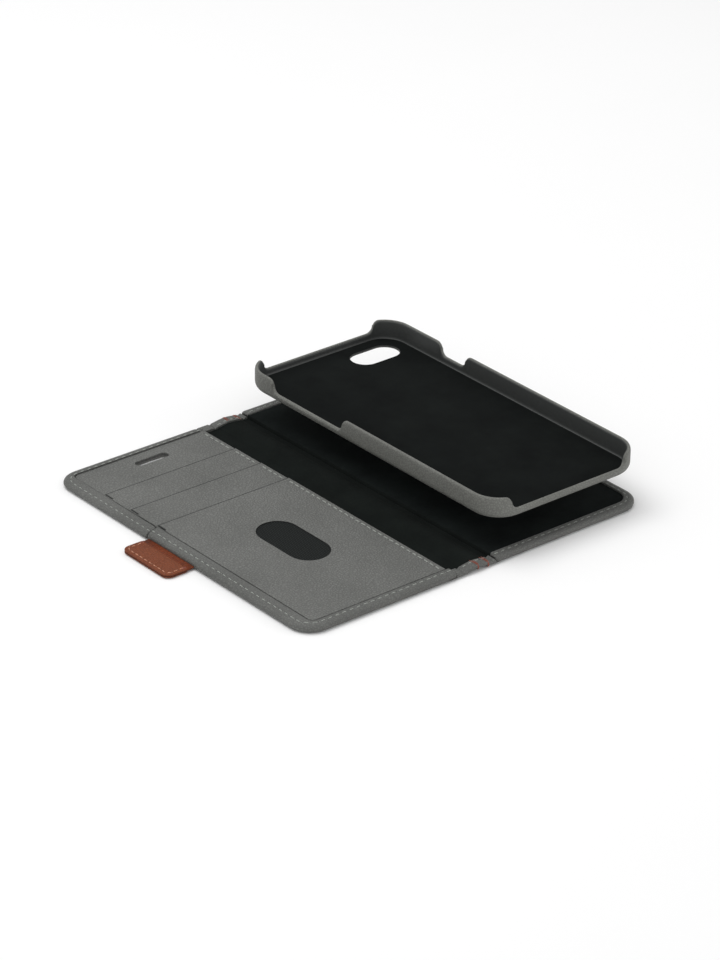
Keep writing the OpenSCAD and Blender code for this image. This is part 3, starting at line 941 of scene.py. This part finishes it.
# ---------------------------------------------------------------- phone shell

SHELL_R = 11.6
LIP_H = 3.7                                     # the wall's height in the openings
END_OPENING = 53.0                              # their widths
KEYS_OPENING, SIDE_KEY_OPENING = 40.0, 14.0
KEYS_Y, SIDE_KEY_Y = 33.0, 32.0                 # the two side openings' middles
SKIN = 0.42                                     # the leather's thickness
FLOOR_R = 9.5                                   # corners of the lining on the floor


def shell_wall_heights(starts, short_side):
    """(place, height) pairs where the rim comes down to the lip and goes up again, in order.

    A place is a length along the perimeter from the low end of the straight side at x1, and starts
    are the places where its eight legs begin.
    """
    full, low_r, top_r, lean = shell.z1 - shell.z0, 3.0, 2.6, 0.12
    openings = [(starts[0] + SIDE_KEY_Y - (shell.y0 + SHELL_R), SIDE_KEY_OPENING),
                (starts[2] + short_side / 2, END_OPENING),
                (starts[4] + (shell.y1 - SHELL_R) - KEYS_Y, KEYS_OPENING),
                (starts[6] + short_side / 2, END_OPENING)]
    heights = []
    for middle, width in openings:
        end = [(width / 2 - low_r + low_r * math.sin(a), LIP_H + low_r * (1 - math.cos(a)))
               for a in quarter_turn(8)]
        end += [(width / 2 + lean + top_r * (1 - math.cos(a)), full - top_r * (1 - math.sin(a)))
                for a in quarter_turn(8)]
        heights += [(middle + side * s, h) for side in (1, -1) for s, h in end]
    return sorted(heights)


def shell_perimeter():
    """(x, y, normal x, normal y, wall height) round the shell."""
    x0, x1, y0, y1, r = shell.x0, shell.x1, shell.y0, shell.y1, SHELL_R
    long_side, short_side, corner = y1 - y0 - 2 * r, x1 - x0 - 2 * r, math.pi * r / 2
    legs = [long_side, corner, short_side, corner] * 2
    starts = [sum(legs[:i]) for i in range(len(legs))]
    heights = shell_wall_heights(starts, short_side)

    def height(s):
        for (sa, ha), (sb, hb) in zip(heights, heights[1:]):
            if sa <= s <= sb:
                return ha + (hb - ha) * (s - sa) / max(sb - sa, 1e-9)
        return shell.z1 - shell.z0

    even, total = 260, sum(legs)
    samples = sorted({round(s, 4) for s, _ in heights} | {round(total * i / even, 4) for i in range(even)})
    points = []
    for s in samples:
        leg = max(i for i, start in enumerate(starts) if start <= s + 1e-9)
        t, side = s - starts[leg], leg // 2
        if leg % 2 == 0:
            x, y, nx, ny = [(x1, y0 + r + t, 1, 0), (x1 - r - t, y1, 0, 1), (x0, y1 - r - t, -1, 0),
                            (x0 + r + t, y0, 0, -1)][side]
        else:
            a = math.radians(90 * side) + t / r
            cx, cy = [(x1 - r, y1 - r), (x0 + r, y1 - r), (x0 + r, y0 + r), (x1 - r, y0 + r)][side]
            nx, ny = math.cos(a), math.sin(a)
            x, y = cx + r * nx, cy + r * ny
        points.append((x, y, nx, ny, height(s)))
    return points


def shell_rings(perimeter, profile):
    """The rings of profile(wall height), whose (inset, height) pairs start and end on the flat floor."""
    rings = [[] for _ in profile(LIP_H)]
    for x, y, nx, ny, h in perimeter:
        for ring, (d, z) in zip(rings, profile(h)):
            ring.append((x - nx * d, y - ny * d, shell.z0 + z))
    return rings


def leather_profile(h):
    """Out under the floor, up the wall, over the rim and back down between the leather and the core."""
    low = arc(3.0, 3.0, 3.0, 270, 180, 7)
    outside = [(0.0, max(h - 1.3, 3.01)), (0.05, max(h - 0.85, 3.06)), (0.16, h - 0.42), (0.36, h - 0.14),
               (0.66, h), (0.98, h - 0.03), (1.2, h - 0.2), (1.24, h - 0.42)]
    under = [(1.0, h - 0.5), (0.74, h - 0.5), (0.5, h - 0.75), (0.42, max(h - 1.3, 2.92))]
    return [(6.0, 0.0)] + low + outside + under + arc(2.9, 2.9, 2.48, 180, 270, 7) + [(6.0, SKIN)]


def core_profile(h):
    """The moulding: out under the floor, up inside the leather, over the rim and down the bay's wall."""
    low = arc(2.9, 2.9, 2.46, 270, 180, 7)
    top = [(0.44, max(h - 1.3, 2.91)), (0.52, h - 0.76), (0.76, h - 0.52), (1.02, h - 0.52),
           (1.26, h - 0.46), (1.42, h - 0.55), (1.5, h - 0.8)]
    inside = [(1.5, 2.1), (1.56, 1.6), (1.75, 1.2), (2.1, 1.0), (6.0, 1.0)]
    return [(6.0, 0.44)] + low + top + inside


def make_shell():
    perimeter = shell_perimeter()
    hole = long_hole(*CAMERA_HOLE)
    for name, profile, material, node, slot in (
            ("shell_leather", leather_profile, GREY_SHELL, "shell_leather_wrap", "grey_leather"),
            ("shell_moulding", core_profile, PLASTIC, "shell_core", "shell_plastic")):
        low, high = (shell.z0 + profile(LIP_H)[i][1] for i in (0, -1))
        stack = at_heights(hole, edge_profile(low, high, 0.08, 0.08))
        piece = loft(name, shell_rings(perimeter, profile), [material], [stack], angle=50)
        ride(piece, "phone_shell", [node])

    b, margin, lift = shell_floor, 0.55, 0.005
    field = inset_outline(b.x0 + margin, b.x1 - margin, b.y0 + margin, b.y1 - margin, [FLOOR_R] * 4)
    lining = slab("shell_floor_lining", field, b.z0 + lift, b.z1, SUEDE, [hole], low_r=0.03, top_r=0.08,
                  hole_r=0.05)
    ride(lining, "phone_shell", ["shell_lining"])


# ---------------------------------------------------------------- stage, light and camera

FLOOR_HALF = 3.0
FLOOR_Z = -0.0002
SKY = 0.56
LIGHTS = (("key", (-0.2, 0.4, 1.3), 1.1, 10.5),         # name, place, size, power
          ("front", (-0.9, -1.0, 0.7), 1.2, 2.7),
          ("side", (1.0, -0.9, 0.33), 0.8, 3.4))
CAMERA_PLACE = (-0.83729, -1.01777, 0.69455)
CAMERA_RIGHT = (0.77218928, -0.63527594, 0.01217388)
CAMERA_AHEAD = (0.56771221, 0.68120649, -0.46223432)
CAMERA_LENS = 156.46


def make_stage():
    """A pale floor just under the case, an even sky and soft lights that face the origin."""
    mesh = bpy.data.meshes.new("floor")
    bm = bmesh.new()
    bmesh.ops.create_grid(bm, x_segments=8, y_segments=8, size=FLOOR_HALF)
    bm.to_mesh(mesh)
    bm.free()
    floor = bpy.data.objects.new("floor", mesh)
    bpy.context.scene.collection.objects.link(floor)
    floor.location.z = FLOOR_Z
    mesh.materials.append(grained("pale_floor", grey(0.96), grey(0.95), 3, 0.9, bump_mm=0.001))

    world = bpy.data.worlds.new("studio")
    bpy.context.scene.world = world
    world.use_nodes = True
    sky = world.node_tree.nodes["Background"]
    sky.inputs["Color"].default_value = grey(1)
    sky.inputs["Strength"].default_value = SKY
    for name, place, size, power in LIGHTS:
        light = bpy.data.lights.new(name, "AREA")
        light.shape, light.size, light.energy = "SQUARE", size, power
        lamp = bpy.data.objects.new(name, light)
        bpy.context.scene.collection.objects.link(lamp)
        lamp.location = place
        lamp.rotation_mode = "QUATERNION"
        lamp.rotation_quaternion = (-Vector(place)).to_track_quat("-Z", "Y")


def make_camera():
    data = bpy.data.cameras.new("camera")
    data.lens, data.sensor_width = CAMERA_LENS, 36.0
    data.clip_start, data.clip_end = 0.05, 20.0
    camera = bpy.data.objects.new("camera", data)
    bpy.context.scene.collection.objects.link(camera)
    right, ahead = Vector(CAMERA_RIGHT), Vector(CAMERA_AHEAD)
    turn = Matrix((right, right.cross(ahead), -ahead)).transposed().to_4x4()
    camera.matrix_world = Matrix.Translation(CAMERA_PLACE) @ turn
    bpy.context.scene.camera = camera


def dress_cad_nodes():
    """Procedural materials for the CAD nodes that stay."""
    looks = {"magnet": NICKEL, "plates": STEEL}
    for name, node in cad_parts.items():
        if node.hide_render:
            continue
        material = next((look for word, look in looks.items() if word in name), BOARD)
        if not node.data.materials:
            node.data.materials.append(material)
        for slot in node.material_slots:
            slot.material = material


make_camera()
make_front_cover()
make_front_stitching()
make_spine()
make_spine_thread()
make_back_cover()
make_tab()
make_shell()
dress_cad_nodes()
make_stage()
bpy.context.scene.view_settings.view_transform = "Standard"
